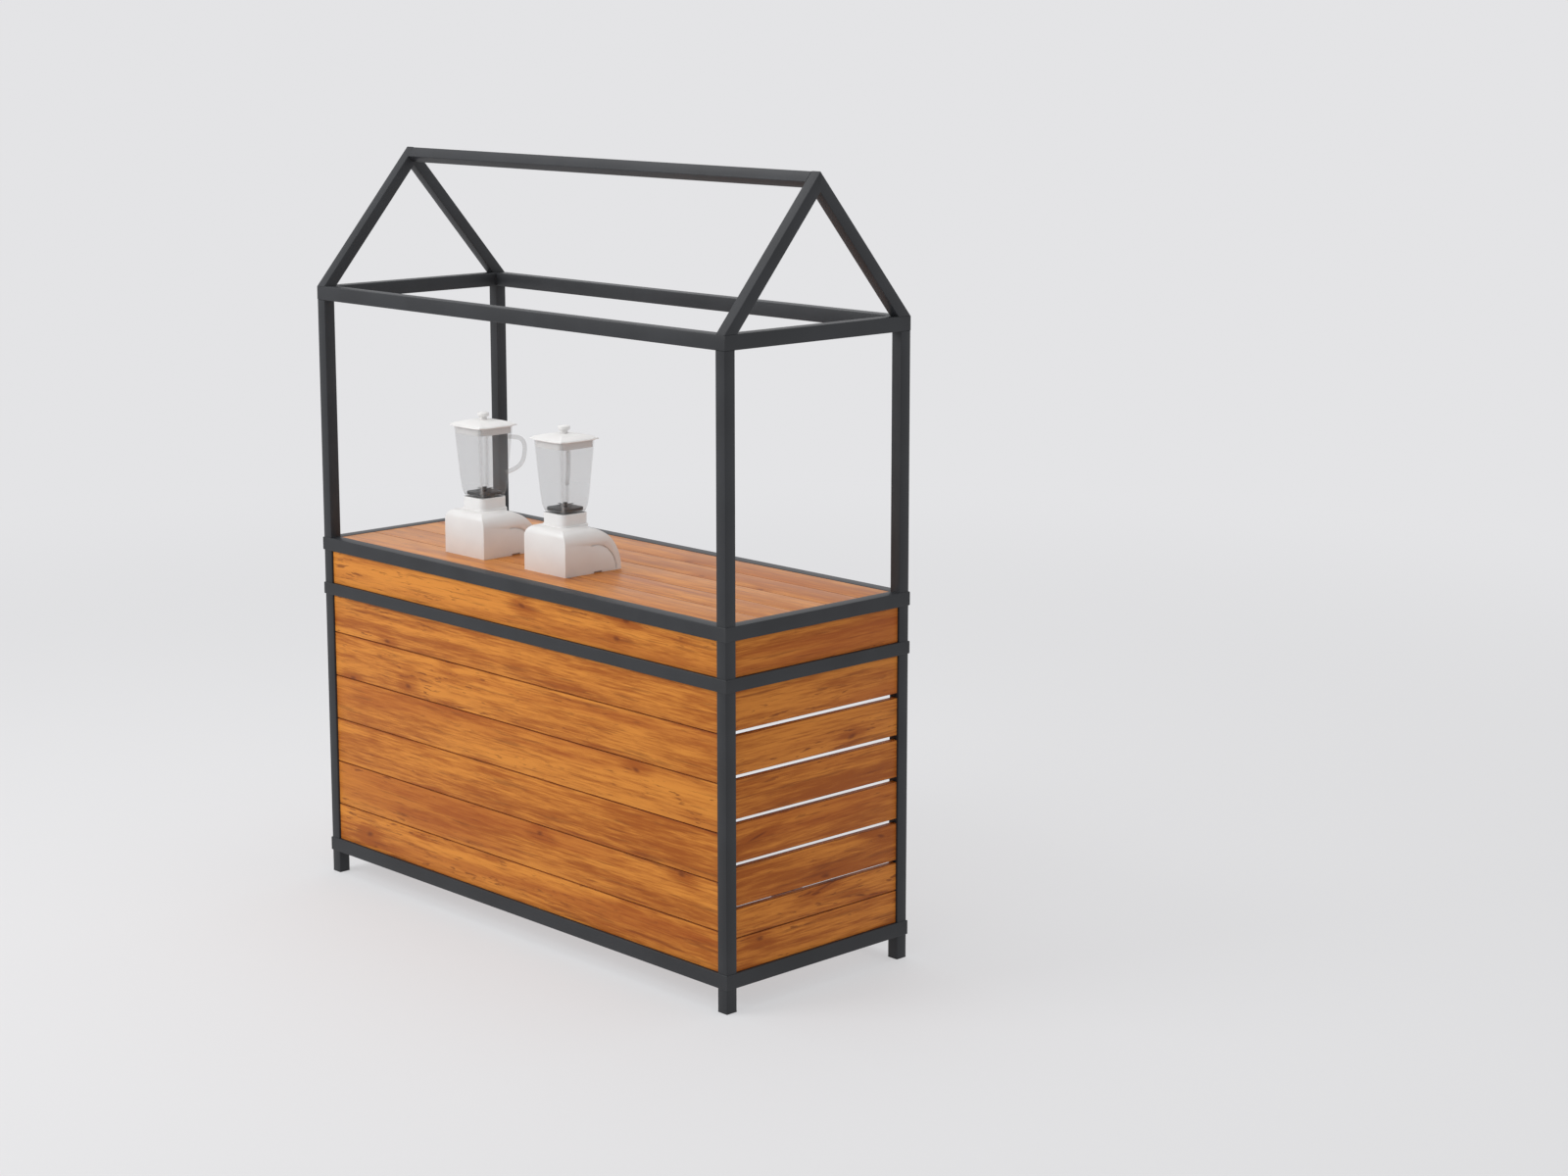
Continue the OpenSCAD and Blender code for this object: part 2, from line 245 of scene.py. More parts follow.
class NodeBoard:
    def __init__(self, tree):
        self.tree = tree

    def add(self, kind, settings=None, inputs=None, output=0):
        node = self.tree.nodes.new("ShaderNode" + kind)
        for key, value in (settings or {}).items():
            setattr(node, key, value)
        for key, value in (inputs or {}).items():
            if isinstance(value, Signal):
                self.tree.links.new(value.socket, node.inputs[key])
            else:
                node.inputs[key].default_value = value
        return None if output is None else Signal(self.tree, node.outputs[output])  # None at a tree's end

    def mix(self, amount, first, second):
        return self.add("Mix", {"data_type": "RGBA"}, {0: amount, 6: first, 7: second}, output=2)

    def join(self, fromSocket, toSocket):
        self.tree.links.new(fromSocket, toSocket)


class Finish(NodeBoard):
    def __init__(self, name, **constants):
        self.material = bpy.data.materials.new(name)
        self.material.use_nodes = True
        super().__init__(self.material.node_tree)
        self.shader = self.tree.nodes["Principled BSDF"]
        for socketName, value in constants.items():
            self.shader.inputs[socketName.replace("_", " ")].default_value = value

    def coords(self):
        return self.add("TexCoord", output=3)  # the object's own coordinates

    def scaled(self, vector, scale):
        return self.add("VectorMath", {"operation": "MULTIPLY"}, {0: vector, 1: scale})

    def noise(self, vector, scale, detail=2, rough=0.5, distort=0):
        return self.add("TexNoise", None, {"Vector": vector, "Scale": scale, "Detail": detail,
                                           "Roughness": rough, "Distortion": distort})

    def feed(self, socketName, value):
        self.join(value.socket, self.shader.inputs[socketName])

    def bump(self, height, strength, distance):
        self.feed("Normal", self.add("Bump", None, {"Height": height, "Strength": strength,
                                                    "Distance": distance}))

    def dress(self, obj):
        obj.data.materials.clear()
        obj.data.materials.append(self.material)
        return obj


# stained boards: grain along one axis, each board cut from another place in the log

grain = {
    "drift": (7.3, 3.1, 5.7), "waver": (5, 2), "waverReach": (0.02, 0.05, 0.05),
    "broad": (9, 3, 0.55), "bands": (34, 4, 0.6), "fibre": (190, 3, 0.6),
    "broadWeight": 0.9, "bandWeight": 1.5, "fibreWeight": 1.1, "toneRange": (0.12, 0.88),
    "lines": (85, 3, 0.65), "lineStretch": 0.8, "lineRange": (0.555, 0.68), "lineWeight": 0.62,
    "darts": (105, 2, 0.6), "dartStretch": 2.4, "dartPatch": (0.42, 0.62),
    "knotStretch": 0.5, "knotWarp": 0.05, "knotCore": 0.01, "knotWeight": 0.7,
    "haloStart": 0.6, "haloEnd": 0.34, "haloWeight": 0.3,
    "reds": (14, 2), "redRange": (0.52, 0.72), "redWeight": 0.55,
    "roughSpread": 0.14, "bumpFibre": 0.6, "bumpBands": 0.4, "bumpKnots": 0.5, "bumpDistance": 0.0006,
}


def woodFinish(name, along, across, look):
    wood = Finish(name, IOR=1.48, Specular_IOR_Level=look["specular"])
    board = wood.add("Attribute", {"attribute_name": "board"}, output=2)
    rim = wood.add("Attribute", {"attribute_name": "rim"}, output=2)
    tone = wood.add("TexWhiteNoise", {"noise_dimensions": "1D"}, {"W": board})

    drift = wood.add("CombineXYZ", None, {i: board * step for i, step in enumerate(grain["drift"])})
    stretched = wood.scaled(wood.coords(), alongAxis(along, look["stretch"], 1.0))
    moved = wood.add("VectorMath", {"operation": "ADD"}, {0: stretched, 1: drift})
    waver = wood.noise(moved, *grain["waver"])
    sway = wood.add("CombineXYZ", None, {i: waver * reach for i, reach in enumerate(grain["waverReach"])})
    bent = wood.add("VectorMath", {"operation": "ADD"}, {0: moved, 1: sway})

    broad = wood.noise(bent, *grain["broad"])
    bands = wood.noise(bent, *grain["bands"])
    fibre = wood.noise(bent, *grain["fibre"])
    lines = wood.noise(wood.scaled(bent, alongAxis(along, grain["lineStretch"], 1.0)), *grain["lines"])
    darts = wood.noise(wood.scaled(bent, alongAxis(along, grain["dartStretch"], 1.0)), *grain["darts"])
    dartMask = darts.ramp(look["dartLow"], look["dartHigh"]) * broad.ramp(*grain["dartPatch"])
    lineMask = lines.ramp(*grain["lineRange"]) * grain["lineWeight"]
    streaks = (dartMask + lineMask).least(1)

    knotSpot = wood.scaled(bent, alongAxis(along, grain["knotStretch"] / look["stretch"], 1.0))
    flatSpot = {i: wood.add("SeparateXYZ", None, {0: knotSpot}, output=axis)
                for i, axis in enumerate((along, across))}
    cellSettings = {"feature": "F1", "voronoi_dimensions": "2D"}
    cellInputs = {"Vector": wood.add("CombineXYZ", None, flatSpot), "Scale": look["knotScale"]}
    cell = wood.add("TexVoronoi", cellSettings, cellInputs) + (bands - 0.5) * grain["knotWarp"]
    middle = wood.add("TexVoronoi", cellSettings, cellInputs, output=2)
    picked = wood.add("TexWhiteNoise", {"noise_dimensions": "3D"}, {"Vector": middle}) > look["knotRarity"]
    knots = (1 - cell.ramp(grain["knotCore"], look["knotSize"])) * picked
    halo = (1 - cell.ramp(look["knotSize"] * grain["haloStart"], grain["haloEnd"])) * picked

    shade = (broad - 0.5) * grain["broadWeight"] + (bands - 0.5) * grain["bandWeight"]
    shade = shade + (fibre - 0.5) * grain["fibreWeight"] + (tone - 0.5) * look["boardTone"]
    shade = shade + 0.5 - halo * grain["haloWeight"]
    base = wood.mix(shade.ramp(*grain["toneRange"]), look["deep"], look["light"])
    redMask = wood.noise(bent, *grain["reds"]).ramp(*grain["redRange"]) * grain["redWeight"]
    redder = wood.mix(redMask, base, look["red"])
    streaked = wood.mix(streaks * look["dartDepth"], redder, look["dark"])
    knotted = wood.mix(knots * grain["knotWeight"], streaked, look["dark"])
    # painted shade: the eased edge faces of each board (the rim tag) are pulled toward the dark tone,
    # standing in for the shade in the joints between boards, with some grime
    wood.feed("Base Color", wood.mix(rim * look["rim"], knotted, look["dark"]))
    wood.feed("Roughness", look["rough"] + (bands - 0.5) * grain["roughSpread"])
    relief = fibre * grain["bumpFibre"] + bands * grain["bumpBands"] - knots * grain["bumpKnots"]
    wood.bump(relief, look["bump"], grain["bumpDistance"])
    return wood


cladLook = {
    "specular": 0.2, "stretch": 0.06, "dartLow": 0.61, "dartHigh": 0.7, "dartDepth": 0.68, "rim": 0.75,
    "knotScale": 7.5, "knotSize": 0.075, "knotRarity": 0.62, "boardTone": 0.3, "rough": 0.52, "bump": 0.3,
    "deep": (0.365, 0.094, 0.010, 1), "light": (0.70, 0.262, 0.040, 1), "red": (0.36, 0.080, 0.011, 1),
    "dark": (0.14, 0.028, 0.005, 1),
}
# painted shade: the side slats take darker copies of the cladding's light and deep stain colours, standing in
# for the side faces getting less light
slatShadedLook = dict(cladLook, dartDepth=0.72, light=(0.62, 0.218, 0.033, 1), deep=(0.33, 0.082, 0.009, 1))
# painted light: the worktop takes lighter, paler copies of the cladding's stain colours, standing in for the
# light and sheen on the top; its higher specular and lower roughness are the varnish's own gloss
deckSheenLook = dict(cladLook, specular=0.32, dartDepth=0.5, knotRarity=0.75, boardTone=0.2, rim=0.5,
                rough=0.36, bump=0.16,
                deep=(0.42, 0.125, 0.017, 1), light=(0.68, 0.268, 0.052, 1), red=(0.42, 0.112, 0.016, 1))
battenLook = dict(cladLook, specular=0.3, boardTone=0.2, rough=0.6,
                  deep=(0.30, 0.14, 0.05, 1), light=(0.52, 0.29, 0.13, 1), red=(0.33, 0.14, 0.05, 1))
woodAlongX = woodFinish("woodAlongX", 0, 2, cladLook)
woodAlongY = woodFinish("woodAlongY", 1, 2, slatShadedLook)
deckWood = woodFinish("deckWood", 0, 1, deckSheenLook)
battenWood = woodFinish("battenWood", 2, 0, battenLook)
bearerWood = woodFinish("bearerWood", 1, 0, battenLook)


# opaque finishes: two close tones, a little spread in the gloss, and a fine relief where there is one

def plainFinish(name, look, **constants):
    plain = Finish(name, **constants)
    cloud = plain.noise(plain.coords(), *look["cloud"])
    amount = cloud.ramp(*look["range"]) if "range" in look else cloud
    roughLow, roughSpread = look["rough"]
    plain.feed("Base Color", plain.mix(amount, *look["tones"]))
    plain.feed("Roughness", roughLow + cloud * roughSpread)
    if "relief" in look:
        scale, strength, distance = look["relief"]
        plain.bump(plain.noise(plain.coords(), scale), strength, distance)
    return plain


steelLook = {"cloud": (6, 3), "range": (0.3, 0.7), "rough": (0.39, 0.1), "relief": (900, 0.12, 0.0002),
             "tones": ((0.021, 0.0225, 0.0255, 1), (0.028, 0.030, 0.034, 1))}
glideLook = {"cloud": (300, 2), "rough": (0.5, 0.15),
             "tones": ((0.016, 0.016, 0.017, 1), (0.028, 0.028, 0.03, 1))}
whiteLook = {"cloud": (14, 2), "range": (0.3, 0.7), "rough": (0.3, 0.06), "relief": (700, 0.05, 0.0001),
             "tones": ((0.80, 0.785, 0.775, 1), (0.83, 0.82, 0.81, 1))}
rubberLook = {"cloud": (120, 2), "rough": (0.36, 0.14),
              "tones": ((0.010, 0.010, 0.011, 1), (0.022, 0.022, 0.023, 1))}
steel = plainFinish("powderCoat", steelLook, IOR=1.5, Specular_IOR_Level=0.32)
glidePlastic = plainFinish("glidePlastic", glideLook, IOR=1.46)
whitePlastic = plainFinish("whitePlastic", whiteLook, IOR=1.48, Coat_Roughness=0.12)
blackRubber = plainFinish("blackRubber", rubberLook, IOR=1.46)

# clear plastic: a thin grey film, made lighter and denser at the rounded corners and over the handle, a
# painted reflection for where the wall is seen at a glancing angle
clearLook = {"haze": (18, 2), "tones": ((0.27, 0.273, 0.278, 1), (0.33, 0.333, 0.338, 1)),
             "sheenTone": (0.62, 0.625, 0.63, 1), "rough": (0.05, 0.04), "film": (0.085, 0.03), "sheenFilm": 0.26}
clearPlastic = Finish("clearPlastic", IOR=1.5, Specular_IOR_Level=1.0)
haze = clearPlastic.noise(clearPlastic.coords(), *clearLook["haze"])
paintedSheen = clearPlastic.add("Attribute", {"attribute_name": "paintedSheen"}, output=2)
clearTone = clearPlastic.mix(haze, *clearLook["tones"])
# painted reflection: the film turns lighter and denser wherever the sheen mask is set
clearPlastic.feed("Base Color", clearPlastic.mix(paintedSheen, clearTone, clearLook["sheenTone"]))
clearPlastic.feed("Roughness", clearLook["rough"][0] + haze * clearLook["rough"][1])
clearPlastic.feed("Alpha", clearLook["film"][0] + haze * clearLook["film"][1] + paintedSheen * clearLook["sheenFilm"])
print("finishes made")


# steel tubes: a block longer than the tube, eased along its edges, then trimmed to its ends

tubeLook = {"edge": (0.0022, 3), "spare": 0.01, "overrun": 0.08, "longEdge": 0.5}


def addTube(name, low, high, axis, ends):
    spare = alongAxis(axis, tubeLook["spare"])
    tube = roundEdges(addBlock(name, low - spare, high + spare), *tubeLook["edge"])
    for point, normal in ends:
        cutOff(tube, point, normal)
    return tube


railSides = {"front": ((0, -1, 0), 0), "back": ((0, 1, 0), 0),
             "left": ((-1, 0, 0), 1), "right": ((1, 0, 0), 1)}
for ring in ("base", "belt", "worktop", "eave"):
    for side, (outward, axis) in railSides.items():
        node = f"{ring}_rail_{side}"
        low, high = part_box(node)
        mitres = []
        for ahead in (alongAxis(axis, -1), alongAxis(axis, 1)):
            reach = Vector(outward) + ahead
            corner = (high.x if reach.x > 0 else low.x, high.y if reach.y > 0 else low.y, low.z)
            mitres.append((corner, ahead - Vector(outward)))
        rail = addTube(node + "_tube", low, high, axis, mitres)
        place(steel.dress(smooth(rail)), "frame_steel", node)
print("rails made")

for level in ("lower", "upper"):
    for corner in ("front_left", "front_right", "back_left", "back_right"):
        node = f"{level}_post_{corner}"
        lengths = [addTube(node, low, high, 2, ((low, (0, 0, -1)), (high, (0, 0, 1))))
                   for low, high in solidBoxes(node)]
        post = joinAll(node + "_tube", lengths)
        place(steel.dress(smooth(post)), "frame_steel", node)
print("posts made")

# roof: rafters leaning from the eave to the apex, and the ridge between them
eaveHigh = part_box("eave_rail_right")[1]
ridgeLow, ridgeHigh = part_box("ridge")
roofRise = ridgeHigh.z - eaveHigh.z
roofHalf = eaveHigh.y
slope = math.atan2(roofRise, roofHalf)
slopeLength = math.hypot(roofRise, roofHalf)


def slopedBlock(name, x0, x1, thick, start, stop):
    middle = (start + stop) / 2  # measured down the front slope from the apex, on its outer face
    down = Vector((0, -math.cos(slope), -math.sin(slope)))
    inward = Vector((0, math.sin(slope), -math.cos(slope)))
    centre = Vector(((x0 + x1) / 2, 0, ridgeHigh.z)) + down * middle + inward * thick / 2
    clearSelection()
    bpy.ops.mesh.primitive_cube_add(size=1, location=centre, rotation=(slope, 0, 0),
                                    scale=(x1 - x0, stop - start, thick))
    block = bpy.context.active_object
    block.name = name
    return settle(block)


for side in ("left", "right"):
    low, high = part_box(f"rafter_front_{side}")
    thick = high.x - low.x
    rafter = slopedBlock("rafter", low.x, high.x, thick,
                         -tubeLook["overrun"], slopeLength + tubeLook["overrun"])
    roundEdges(rafter, *tubeLook["edge"])
    cutOff(rafter, (0, 0, eaveHigh.z), (0, 0, -1))
    cutOff(rafter, (0, 0, 0), (0, 1, 0))
    twin = copyMoved(rafter, f"rafter_back_{side}_tube", (low.x + high.x, 0, 0), math.pi)
    rafter.name = f"rafter_front_{side}_tube"
    place(steel.dress(smooth(rafter)), "frame_steel", f"rafter_front_{side}")
    place(steel.dress(smooth(twin)), "frame_steel", f"rafter_back_{side}")

half = slopedBlock("ridgeHalf", ridgeLow.x, ridgeHigh.x, thick, 0, thick)  # the rafters' own tube size
cutOff(half, (0, 0, 0), (0, 1, 0), close=False)
otherHalf = copyMoved(half, "ridgeOther", (0, 0, 0), math.pi)
ridgeTube = tidyMesh(joinAll("ridge_tube", [half, otherHalf]))
roundChosen(ridgeTube, lambda a, b: abs(a.x - b.x) > tubeLook["longEdge"], *tubeLook["edge"])
place(steel.dress(smooth(ridgeTube)), "frame_steel", "ridge")

glideEdge = (0.0012, 2)
glides = joinAll("foot_glides_caps", [roundEdges(addBlock("glide", low, high), *glideEdge)
                                      for low, high in solidBoxes("foot_glides")])
place(glidePlastic.dress(smooth(glides)), "glide_plastic", "foot_glides")
print("roof and glides made")


# boards: one eased block per board, each tagged with its own number

boardLook = {"clad": (0.0013, 3), "deck": (0.0008, 3), "batten": (0.001, 3), "step": 1.37, "start": 0.2,
             "flat": 0.98, "bite": 0.003, "back": 0.006, "under": 0.004}


def tagBoard(obj, number):
    # rim marks each board's eased edge faces, which the wood finish darkens as painted shade in the joints
    rims = [float(max(map(abs, face.normal)) < boardLook["flat"]) for face in obj.data.polygons]
    tagValues(obj, "board", "POINT", [number] * len(obj.data.vertices))
    tagValues(obj, "rim", "FACE", rims)
    return obj


def addBoards(node, pieceName, finish, kind, first, chosen=None, tongued=None):
    boxes = solidBoxes(node)
    numbers = [first + i * boardLook["step"] + boardLook["start"] for i in range(len(boxes))]
    made = []
    for (low, high), number in zip(boxes, numbers):
        if chosen is None or chosen(high - low):
            made.append(tagBoard(roundEdges(addBlock("board", low, high), *boardLook[kind]), number))
    if tongued is not None:  # a tongue behind each joint
        joint, depth = tongued
        insets = (boardLook["back"], boardLook["under"])
        lowInset, highInset = insets if depth == 1 else reversed(insets)  # back from the shown face
        for (low, high), nextBox, number in zip(boxes, boxes[1:], numbers):
            tongueLow, tongueHigh = low.copy(), high.copy()
            tongueLow[joint] = high[joint] - boardLook["bite"]
            tongueHigh[joint] = nextBox[0][joint] + boardLook["bite"]
            tongueLow[depth] += lowInset
            tongueHigh[depth] -= highInset
            made.append(tagBoard(addBlock("tongue", tongueLow, tongueHigh), number))
    group = smooth(joinAll(pieceName, made))
    return place(finish.dress(group), "batten_wood" if kind == "batten" else "stained_wood", node)


addBoards("front_boards", "front_boards_clad", woodAlongX, "clad", 1, tongued=(2, 1))
addBoards("left_slats", "left_slats_clad", woodAlongY, "clad", 31)
addBoards("right_slats", "right_slats_clad", woodAlongY, "clad", 57)
addBoards("apron_boards", "apron_long", woodAlongX, "clad", 71, chosen=lambda size: size.x > size.y)
addBoards("apron_boards", "apron_short", woodAlongY, "clad", 81, chosen=lambda size: size.x < size.y)
addBoards("worktop_planks", "worktop_planks_deck", deckWood, "deck", 91, tongued=(1, 2))
addBoards("front_battens", "front_battens_bars", battenWood, "batten", 111)
addBoards("worktop_bearers", "worktop_bearers_bars", bearerWood, "batten", 121)
print("boards made")


# blenders, modelled round the left jar's axis and copied to the right

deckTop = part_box("worktop_planks")[1].z
baseLow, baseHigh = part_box("blender_base_left")
bladeLow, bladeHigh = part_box("blender_blade_left")
home = Vector(((baseLow.x + baseHigh.x) / 2, (bladeLow.y + bladeHigh.y) / 2, deckTop))
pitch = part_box("blender_base_right")[0].x - baseLow.x
uprightRule = {"lean": 0.5, "shortest": 0.003}


def addLocal(name, low, high):
    return addBlock(name, home + Vector(low), home + Vector(high))


def addSquare(name, half, bottom, top):
    return addLocal(name, (-half, -half, bottom), (half, half, top))


def addDisc(name, radius, bottom, top, sides=48):
    clearSelection()
    middle = home + Vector((0, 0, (bottom + top) / 2))
    bpy.ops.mesh.primitive_cylinder_add(vertices=sides, radius=radius, depth=top - bottom, location=middle)
    disc = bpy.context.active_object
    disc.name = name
    return settle(disc)


def upright(a, b):
    rise = abs(a.z - b.z)
    return rise > uprightRule["lean"] * (a - b).length and rise > uprightRule["shortest"]


# the base: a front outline and a side outline, each with rounded shoulders, cut into one another
baseLook = {"shoulder": (0.040, 16), "brow": (0.024, 16), "rear": (0.1245, 28), "edge": (0.0009, 2, 40),
            "top": 0.130, "overlap": 0.02, "waist": 0.1, "longEdge": 0.1, "touch": 0.001, "smooth": 40}
collarLook = {"half": 0.047, "corner": 0.018, "steps": 10, "edge": (0.003, 3, 50), "sunk": 0.03,
              "fillet": 0.004, "filletEdge": (0.0039, 4, 50)}
front, rear = baseLow.y - home.y, baseHigh.y - home.y
halfBase = (baseHigh.x - baseLow.x) / 2
collarTop = baseHigh.z - deckTop


def topEdge(a, b, axis):
    return abs(a[axis] - b[axis]) > baseLook["longEdge"] and min(a.z, b.z) > home.z + baseLook["waist"]


frontShape = addLocal("frontShape", (-halfBase, front - baseLook["overlap"], 0),
                      (halfBase, rear + baseLook["overlap"], baseLook["top"]))
roundChosen(frontShape, lambda a, b: topEdge(a, b, 1), *baseLook["shoulder"])
sideShape = addLocal("sideShape", (-halfBase - baseLook["overlap"], front, 0),
                     (halfBase + baseLook["overlap"], rear, baseLook["top"]))
roundChosen(sideShape, lambda a, b: topEdge(a, b, 0) and max(a.y, b.y) < home.y, *baseLook["brow"])
roundChosen(sideShape, lambda a, b: topEdge(a, b, 0) and min(a.y, b.y) > home.y + rear - baseLook["touch"],
            *baseLook["rear"])
body = combine(frontShape, sideShape, "INTERSECT")

# a shallow arch groove in both flanks, and a thin gap under the flanks between the feet
grooveLook = {"radius": 0.080, "width": 0.0042, "depth": 0.0050, "centre": (0.030, 0.001), "sides": 96,
              "spare": 0.01, "start": 0.018, "foot": 0.003}
gapLook = {"top": 0.005, "start": 0.026, "stop": 0.056, "extra": 0.004}


def sideDisc(radius, x0, x1):
    clearSelection()
    spot = home + Vector(((x0 + x1) / 2, *grooveLook["centre"]))
    bpy.ops.mesh.primitive_cylinder_add(vertices=grooveLook["sides"], radius=radius, depth=x1 - x0,
                                        location=spot, rotation=(0, math.pi / 2, 0))
    return settle(bpy.context.active_object)


for flank in (-1, 1):
    spare = grooveLook["spare"]
    inner, outer = sorted((flank * (halfBase - grooveLook["depth"]), flank * (halfBase + spare)))
    ringCut = sideDisc(grooveLook["radius"], inner, outer)
    core = sideDisc(grooveLook["radius"] - grooveLook["width"], inner - spare, outer + spare)
    combine(ringCut, core, "DIFFERENCE")
    cutOff(ringCut, home + Vector((0, grooveLook["start"], 0)), (0, -1, 0))
    cutOff(ringCut, home + Vector((0, 0, grooveLook["foot"])), (0, 0, -1))
    combine(body, ringCut, "DIFFERENCE")
    gapInner, gapOuter = (inner - gapLook["extra"], outer) if flank > 0 else (inner, outer + gapLook["extra"])
    slotCut = addLocal("slotCut", (gapInner, gapLook["start"], -spare),
                       (gapOuter, gapLook["stop"], gapLook["top"]))
    combine(body, slotCut, "DIFFERENCE")
roundEdges(body, *baseLook["edge"])

collarFoot = baseLook["top"] - collarLook["sunk"]
collar = addSquare("collar", collarLook["half"], collarFoot, collarTop)
roundChosen(collar, upright, collarLook["corner"], collarLook["steps"])
roundEdges(collar, *collarLook["edge"])
fillet = addSquare("fillet", collarLook["half"] + collarLook["fillet"], collarFoot,
                   baseLook["top"] + collarLook["fillet"])
roundChosen(fillet, upright, collarLook["corner"] + collarLook["fillet"], collarLook["steps"])
roundEdges(fillet, *collarLook["filletEdge"])
base = smooth(joinAll("blender_base_left_shell", [body, collar, fillet]), baseLook["smooth"])
whitePlastic.dress(base)
print("blender base made")

# the jar: a flared square cup with rounded corners, pinched in at its foot, open at the top
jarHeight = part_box("blender_jar_left")[1].z - baseHigh.z
jarRim = collarTop + jarHeight
jarLook = {"levels": ((0, 0.0435), (0.009, 0.0480), (0.024, 0.0515), (0.06, 0.0550)), "rim": 0.065,
           "corner": 0.020, "wall": 0.0026, "floor": 0.0055, "edge": (0.0007, 2, 55),
           "clear": 0.01, "rimEase": 0.0005, "sheenReach": 0.009, "sliver": 0.001, "facing": 0.9}


def flaredBox(name, levels, corner, segments=8):
    bottomZ, bottomHalf = levels[0]
    shape = addSquare(name, bottomHalf, bottomZ, bottomZ + jarLook["sliver"])
    makeActive(shape)
    bpy.ops.object.mode_set(mode="EDIT")
    bpy.ops.mesh.select_mode(type="FACE")
    bpy.ops.mesh.select_all(action="DESELECT")
    bpy.ops.object.mode_set(mode="OBJECT")
    for face in shape.data.polygons:
        face.select = face.normal.z > jarLook["facing"]
    bpy.ops.object.mode_set(mode="EDIT")
    lastZ, lastHalf = bottomZ + jarLook["sliver"], bottomHalf
    for z, halfSize in levels[1:]:
        growth = halfSize / lastHalf
        bpy.ops.mesh.extrude_region_move(TRANSFORM_OT_translate={"value": (0, 0, z - lastZ)})
        bpy.ops.transform.resize(value=(growth, growth, 1), center_override=home + Vector((0, 0, z)))
        lastZ, lastHalf = z, halfSize
    bpy.ops.object.mode_set(mode="OBJECT")
    roundChosen(shape, upright, corner, segments)
    return shape


outerLevels = [(collarTop + rise, half) for rise, half in jarLook["levels"]]
innerLevels = [(max(z, collarTop + jarLook["floor"]), half - jarLook["wall"]) for z, half in outerLevels]
outerLevels.append((jarRim, jarLook["rim"]))
innerLevels.append((jarRim + jarLook["clear"], jarLook["rim"] + jarLook["rimEase"] - jarLook["wall"]))
outerJar = flaredBox("outerJar", outerLevels, jarLook["corner"])
innerJar = flaredBox("innerJar", innerLevels, jarLook["corner"] - jarLook["wall"])
jar = combine(outerJar, innerJar, "DIFFERENCE")
roundEdges(jar, *jarLook["edge"])

# its handle: a round bar bent from the rim's corner out and back to the jar's lower wall
handleLook = {
    "thick": 0.0064, "turn": math.radians(45), "order": 4, "roundSteps": 5, "lengthSteps": 6, "paintedSheen": 0.55,
    "path": ((0.070, 0.170), (0.092, 0.171), (0.106, 0.167), (0.115, 0.156), (0.1175, 0.142),
             (0.116, 0.118), (0.110, 0.098), (0.098, 0.084), (0.080, 0.074), (0.063, 0.068)),
}
clearSelection()
bpy.ops.curve.primitive_nurbs_path_add(location=(0, 0, 0))
handle = bpy.context.active_object
spline = handle.data.splines[0]
spline.points.add(len(handleLook["path"]) - len(spline.points))
reachX, reachY = math.cos(handleLook["turn"]), math.sin(handleLook["turn"])
for point, (reach, rise) in zip(spline.points, handleLook["path"]):
    point.co = (*(home + Vector((reach * reachX, reach * reachY, collarTop + rise))), 1)
spline.use_endpoint_u = True
spline.order_u = handleLook["order"]
spline.resolution_u = handleLook["lengthSteps"]
handle.data.dimensions = "3D"
handle.data.bevel_depth = handleLook["thick"]
handle.data.bevel_resolution = handleLook["roundSteps"]
handle.data.use_fill_caps = True
makeActive(handle)
bpy.ops.object.convert(target="MESH")
handle = tidyMesh(settle(bpy.context.active_object))

# painted reflection: each jar vertex's share of the lighter, denser film grows toward the rounded corners,
# and the handle takes one fixed share
spots = [vertex.co - home for vertex in jar.data.vertices]
sheenAmounts = [max(0.0, 1 - abs(abs(spot.x) - abs(spot.y)) / jarLook["sheenReach"]) for spot in spots]
tagValues(jar, "paintedSheen", "POINT", sheenAmounts)
tagValues(handle, "paintedSheen", "POINT", [handleLook["paintedSheen"]] * len(handle.data.vertices))
jarWhole = smooth(joinAll("blender_jar_left_clear", [jar, handle]))
clearPlastic.dress(jarWhole)
print("blender jar made")

# the rubber seat and blades at the foot of the jar
seatLook = {"half": 0.0402, "corner": (0.0165, 8), "edge": (0.0012, 2, 50), "foot": 0.0055, "height": 0.0085}
spindleLook = {"radius": 0.0068, "foot": 0.008, "top": 0.0265, "sides": 32, "edge": (0.0015, 3, 50)}
bladeLook = {"reach": 0.0275, "half": 0.0045, "foot": 0.0195, "top": 0.0207, "edge": (0.0004, 1, 50),
             "smooth": 40}
seatFoot = collarTop + seatLook["foot"]
seat = addSquare("seat", seatLook["half"], seatFoot, seatFoot + seatLook["height"])
roundChosen(seat, upright, *seatLook["corner"])
roundEdges(seat, *seatLook["edge"])
spindle = addDisc("spindle", spindleLook["radius"], collarTop + spindleLook["foot"],
                  collarTop + spindleLook["top"], spindleLook["sides"])
roundEdges(spindle, *spindleLook["edge"])
blades = []
for halfX, halfY in ((bladeLook["reach"], bladeLook["half"]), (bladeLook["half"], bladeLook["reach"])):
    blade = addLocal("blade", (-halfX, -halfY, collarTop + bladeLook["foot"]),
                     (halfX, halfY, collarTop + bladeLook["top"]))
    blades.append(roundEdges(blade, *bladeLook["edge"]))
cutter = smooth(joinAll("blender_blade_left_set", [seat, spindle, *blades]), bladeLook["smooth"])
blackRubber.dress(cutter)
print("blender blades made")

